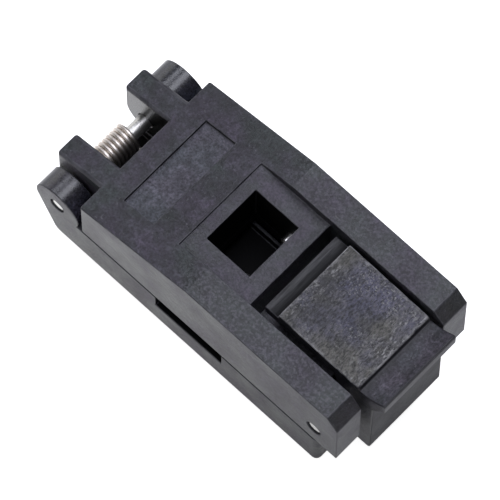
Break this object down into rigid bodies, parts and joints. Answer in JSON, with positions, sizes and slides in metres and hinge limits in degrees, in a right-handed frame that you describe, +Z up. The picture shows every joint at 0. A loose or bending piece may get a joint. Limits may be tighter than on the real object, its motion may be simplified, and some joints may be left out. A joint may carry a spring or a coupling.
{
  "type": "ic test socket",
  "caption": "Clamshell test socket for a flat pack chip: hinged lid with a window, sprung latch with a hooked leg, spring contacts with tails for a circuit board.",
  "frame": {"origin": "middle of the contact field, on the underside of the base that sits on the board", "axes": "+X from the hinge to the latch, +Y across the socket, +Z up away from the board"},
  "size_m": [0.0462, 0.02, 0.0197],
  "materials": {
    "black_moulding": "fine grained black moulding",
    "worn_moulding": "black moulding, scuffed grey by use",
    "polished_steel": "ground and polished",
    "spring_steel": "drawn wire, slightly warm in tone",
    "gold_plate": "gold plated strip"
  },
  "bodies": {
    "base": {"base_housing": "black_moulding", "contact_left_1": "gold_plate", "contact_left_2": "gold_plate", "contact_left_3": "gold_plate", "contact_left_4": "gold_plate", "contact_left_5": "gold_plate", "contact_left_6": "gold_plate", "contact_left_7": "gold_plate", "contact_left_8": "gold_plate", "contact_right_1": "gold_plate", "contact_right_2": "gold_plate", "contact_right_3": "gold_plate", "contact_right_4": "gold_plate", "contact_right_5": "gold_plate", "contact_right_6": "gold_plate", "contact_right_7": "gold_plate", "contact_right_8": "gold_plate", "hinge_pin": "polished_steel", "lid_spring": "spring_steel"},
    "lid": {"lid_cover": "black_moulding", "lead_pusher": "black_moulding", "pusher_pin_left": "polished_steel", "pusher_pin_right": "polished_steel", "latch_pin": "polished_steel", "latch_spring_left": "spring_steel", "latch_spring_right": "spring_steel"},
    "latch_body": {"latch": "worn_moulding"}
  },
  "joints": [
    {"name": "lid_hinge", "type": "hinge", "parent": "base", "child": "lid", "pos_m": [-0.01936, 0, 0.0071], "axis": [0, -1, 0], "range_deg": [0, 95], "deforming": ["lid_spring"]},
    {"name": "latch_pivot", "type": "hinge", "parent": "lid", "child": "latch_body", "pos_m": [0.0183, 0, 0.0094], "axis": [0, -1, 0], "range_deg": [0, 10], "stiffness_Nm_per_rad": 0.1, "springref_deg": -5.73, "deforming": ["latch_spring_left", "latch_spring_right"]}
  ]
}
